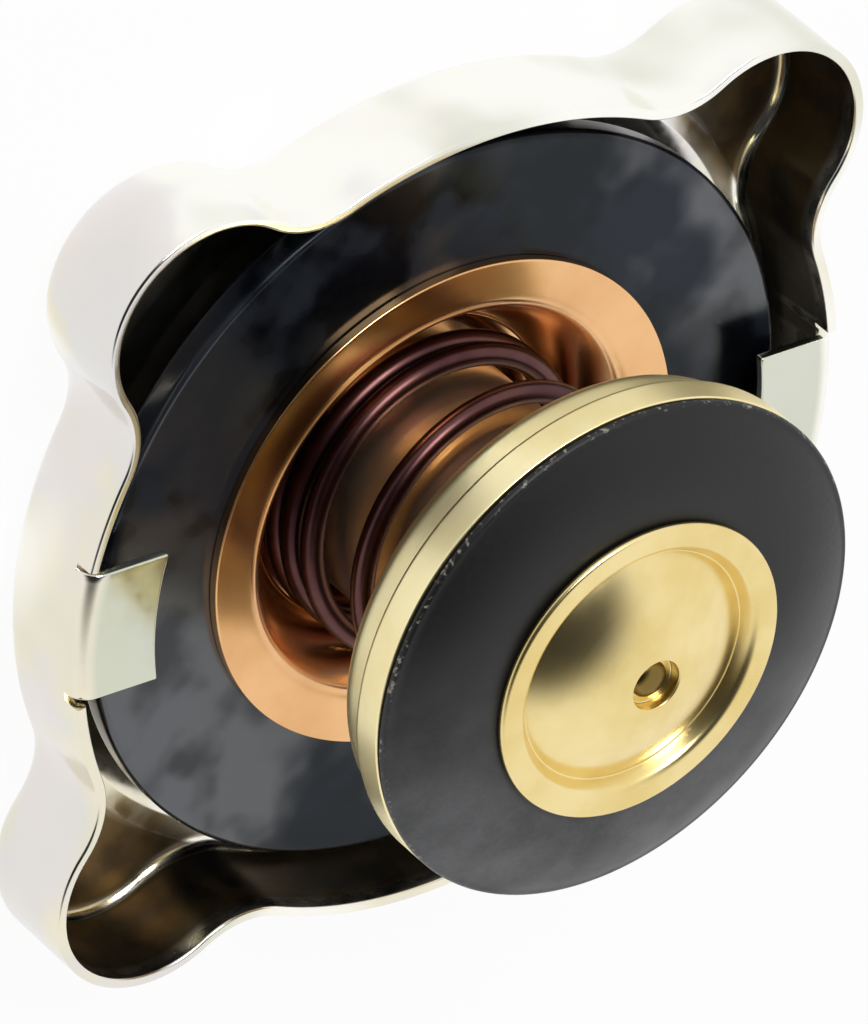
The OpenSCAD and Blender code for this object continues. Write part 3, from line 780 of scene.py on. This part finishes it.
def sleeveSection():
    # thin tube from the plate's back down into the bell, flared at its foot
    path = [(plate["flareR"], plateFoot, 0), (plate["sleeveR"], plateFoot, plate["sleeveBend"]),
            (plate["sleeveR"], cupBack + plate["sheet"] / 2, 0)]
    return sheetSection(path, plate["sleeveSheet"], plate["sleeveEdge"])


def sealSection():
    # rubber that fills the stepped cup: its face rises to the land by one part of a parabola
    t = plate["sheet"]
    gap = seal["gap"]
    cupIn = plateR - plate["cupStep"] - t - gap
    rimIn = plateR - t - gap
    back = cupBack + t + gap
    shelf = cupBack + plate["cupDepth"] + t + gap
    edge = plateLip + seal["lip"]
    faceR = plateR - seal["round"]
    body = roundPath([(seal["hole"], back, 0), (cupIn, back, plate["cupBend"]), (cupIn, shelf, 0),
                      (rimIn, shelf, 0), (rimIn, plateLip + gap, 0)])
    a = np.linspace(0, math.radians(seal["noseTurn"]), seal["noseSteps"])
    nose = np.stack([faceR + seal["round"] * np.cos(a), edge - seal["round"] + seal["round"] * np.sin(a)], 1)
    s = np.linspace(0, 1, seal["faceSteps"])
    face = np.stack([faceR + s * (seal["landR"] - faceR), edge + seal["rise"] * (1 - (1 - s) ** 2)], 1)
    top = edge + seal["rise"]
    land = roundPath([(seal["landR"], top, 0), (seal["hole"], top, seal["holeEdge"]),
                      (seal["hole"], back, 0)])[1:-1]
    return np.vstack([body, nose, face, land])


plateParts = [lathe(plateSection(), False), lathe(sleeveSection())] + piercedBack()
makePiece("plate_pressed", plateParts, "pressure_stage", "valve_plate", finishes["brass"])
makePiece("seal_moulded", [lathe(sealSection())], "pressure_stage", "pressure_seal",
          finishes["seal"])


# Vacuum stage: dished valve, stem and washer

dish = {"sheet": 0.6, "rimWidth": 2.3, "grooveWidth": 0.65, "grooveBend": 0.15, "groove": 1.0, "rise": 2.7,
        "dimpleR": 1.7, "dimple": 0.9, "gap": 0.05, "holeR": 1.0, "domeSteps": 24, "footEdge": 0.1,
        "dimpleEdge": 0.12, "noseSteps": 9}
stem = {"r": 1.0, "spread": 0.25, "end": 0.6, "collar": 0.6, "foot": 0.5, "edge": 0.08, "domeSteps": 10}
washer = {"holeEdge": 0.05, "rimEdge": 0.1}
dishR = round(nodeSpan("vacuum_valve")[0], 1)
dishBack = plateLip + seal["lip"] + seal["rise"] + dish["gap"]
grooveZ = dishBack + dish["sheet"] - dish["groove"]
domeR = dishR - dish["rimWidth"]
ballR = (domeR ** 2 + dish["rise"] ** 2) / (2 * dish["rise"])
ballZ = grooveZ + dish["rise"] - ballR
pitZ = ballZ + math.sqrt(ballR ** 2 - dish["dimpleR"] ** 2) - dish["dimple"]


def dishSection():
    # flange, slope down to the groove, a dome that is part of a ball, and the dimple round the stem
    t = dish["sheet"]
    top = dishBack + t
    a = np.linspace(math.asin((grooveZ - ballZ) / ballR), math.acos(dish["dimpleR"] / ballR),
                    dish["domeSteps"])
    ball = np.stack([ballR * np.cos(a), ballZ + ballR * np.sin(a), 0 * a], 1)
    ball[0, 2] = dish["footEdge"]
    ball[-1, 2] = dish["dimpleEdge"]
    flange = [(dishR - t / 2, top, 0), (domeR + dish["grooveWidth"], top, dish["grooveBend"] + t)]
    face = np.vstack([flange, ball, [(dish["dimpleR"], pitZ, dish["dimpleEdge"]), (dish["holeR"], pitZ, 0)]])
    under = besidePath(face, t)[::-1]
    a = np.linspace(-math.pi / 2, math.pi / 2, dish["noseSteps"])[1:-1]
    nose = np.stack([dishR - t / 2 + t / 2 * np.cos(a), dishBack + t / 2 + t / 2 * np.sin(a)], 1)
    return np.vstack([roundPath(face), roundPath(under), nose])


def stemSection():
    # turned pin: spread foot, shank, collar under the dish, and a domed end in the dimple
    low = nodeSpan("vacuum_stem")[1]
    r, wide = stem["r"], stem["r"] + stem["spread"]
    footZ = low + stem["foot"]
    collarR, collarTop = r + stem["collar"], pitZ - dish["sheet"]
    collarZ = collarTop - stem["collar"]
    corners = [(0, low, 0), (wide, low, stem["edge"]), (wide, footZ, stem["edge"]), (r, footZ, 0),
               (r, collarZ, 0), (collarR, collarZ, stem["edge"]), (collarR, collarTop, 0), (r, collarTop, 0),
               (r, pitZ, 0)]
    a = np.linspace(0, math.pi / 2, stem["domeSteps"])
    dome = np.stack([wide * np.cos(a), pitZ + stem["end"] * np.sin(a)], 1)
    return np.vstack([roundPath(corners), dome])


def washerSection():
    # flat ring on the stem, with broken edges
    r, low, high = nodeSpan("stem_washer")
    hole, inner, outer = stem["r"], washer["holeEdge"], washer["rimEdge"]
    corners = [(hole, low, inner), (r, low, outer), (r, high, outer), (hole, high, inner)]
    return roundPath(corners, closed=True)


makePiece("dish_pressed", [lathe(dishSection())], "vacuum_stage", "vacuum_valve",
          finishes["dish"])
makePiece("stem_turned", [lathe(stemSection(), False, 64)], "vacuum_stage", "vacuum_stem",
          finishes["stem"])
makePiece("washer_cut", [lathe(washerSection(), True, 64)], "vacuum_stage", "stem_washer",
          finishes["rivet"])


# Camera, fitted to the photograph's viewing angle

view = {"tilt": 0.8741, "lean": -0.7139, "turn": math.radians(-92.12), "focal": 15000, "tall": 1024,
        "sensor": 36, "target": (0, 0, 5.95), "targetSeen": (0.274, 0.9144, -915.4976)}


def placeCamera():
    # the part's axes as the camera sees them, from the axis' tilt and lean and the part's turn about it
    t, p = view["tilt"], view["lean"]
    up = np.array([math.sin(t) * math.cos(p), math.sin(t) * math.sin(p), math.cos(t)])
    far = np.array([-math.cos(t) * math.cos(p), -math.cos(t) * math.sin(p), math.sin(t)])
    side = np.cross(up, far)
    c, s = math.cos(view["turn"]), math.sin(view["turn"])
    axes = np.array([c * far - s * side, s * far + c * side, up])
    place = np.array(view["target"]) - axes @ np.array(view["targetSeen"])
    data = bpy.data.cameras.new("photoCamera")
    data.sensor_width = view["sensor"]
    data.lens = view["focal"] / view["tall"] * view["sensor"]
    data.clip_start = 0.01
    camera = bpy.data.objects.new("photoCamera", data)
    camera.matrix_world = Matrix.Translation(place * mm) @ Matrix(axes.tolist()).to_4x4()
    bpy.context.scene.collection.objects.link(camera)
    bpy.context.scene.camera = camera


placeCamera()


# Floor, surroundings and light

stage = {"floorSize": 4.0, "floorDrop": 0.05, "floorLines": 9, "floorColor": rgb(0.90, 0.90, 0.89),
         "floorRough": 0.9, "lift": 0.94, "worldFill": 0.5,
         "darkRise": 55, "darkTurn": 18, "darkInner": 33, "darkOuter": 57, "dark": 0.02,
         "keyAt": (-0.35, -0.45, 0.55), "keySize": 0.35, "keyPower": 3.0}


def lightWorld():
    # a white room that metal and rubber mirror, with a dark round patch above and behind the viewer
    world = bpy.data.worlds.new("whiteRoom")
    bpy.context.scene.world = world
    room = Nodes(world)
    rise = math.radians(stage["darkRise"])
    turn = math.radians(stage["darkTurn"])
    toward = room.add("ShaderNodeTexCoord", output="Generated")
    middle = (math.cos(rise) * math.sin(turn), -math.cos(rise) * math.cos(turn), math.sin(rise))
    near = room.add("ShaderNodeVectorMath", {"operation": "DOT_PRODUCT"}, {0: toward, 1: middle}, "Value")
    fade = [math.cos(math.radians(stage[key])) for key in ("darkOuter", "darkInner")]
    patch = room.ramp(near, *fade)
    mirrored = room.add("ShaderNodeLightPath", output="Is Glossy Ray")
    seen = room.seenDirectly()
    strength = stage["worldFill"] + (1 - stage["worldFill"]) * seen - (1 - stage["dark"]) * mirrored * patch
    ground = room.tree.nodes["Background"]
    room.give(ground, "Color", rgb(1, 1, 1))
    room.give(ground, "Strength", strength)


def layFloor():
    # a flat grid just under the part, which glows pale to the camera and to mirrors and still takes shadow
    half = stage["floorSize"] / 2 / mm
    count = stage["floorLines"]
    a = np.linspace(-half, half, count)
    points = np.stack(np.meshgrid(a, a, [-stage["floorDrop"]], indexing="ij"), -1).reshape(-1, 3) * mm
    mesh = bpy.data.meshes.new("floor")
    mesh.from_pydata(points.tolist(), [], gridFaces(count, count, False, False).tolist())
    constants = {"Base Color": stage["floorColor"], "Roughness": stage["floorRough"],
                 "Specular IOR Level": 0.0}
    pale = Finish("paleFloor", constants)
    glow = pale.add("ShaderNodeEmission")
    share = stage["lift"] * pale.seenDirectly()
    both = pale.add("ShaderNodeMixShader", {}, {0: share, 1: Signal(pale, pale.shader.outputs[0]), 2: glow})
    pale.give(pale.tree.nodes["Material Output"], "Surface", both)
    mesh.materials.append(pale.material)
    floor = bpy.data.objects.new("floor", mesh)
    bpy.context.scene.collection.objects.link(floor)


def hangKey():
    # one round soft lamp that points at the part
    data = bpy.data.lights.new("keyLight", "AREA")
    data.shape = "DISK"
    data.size = stage["keySize"]
    data.energy = stage["keyPower"]
    lamp = bpy.data.objects.new("keyLight", data)
    bpy.context.scene.collection.objects.link(lamp)
    lamp.location = stage["keyAt"]
    lamp.rotation_euler = (-lamp.location).to_track_quat("-Z", "Y").to_euler()
    lamp.visible_camera = False


lightWorld()
layFloor()
hangKey()
bpy.context.scene.view_settings.view_transform = "Standard"
print("camera, floor and light set")
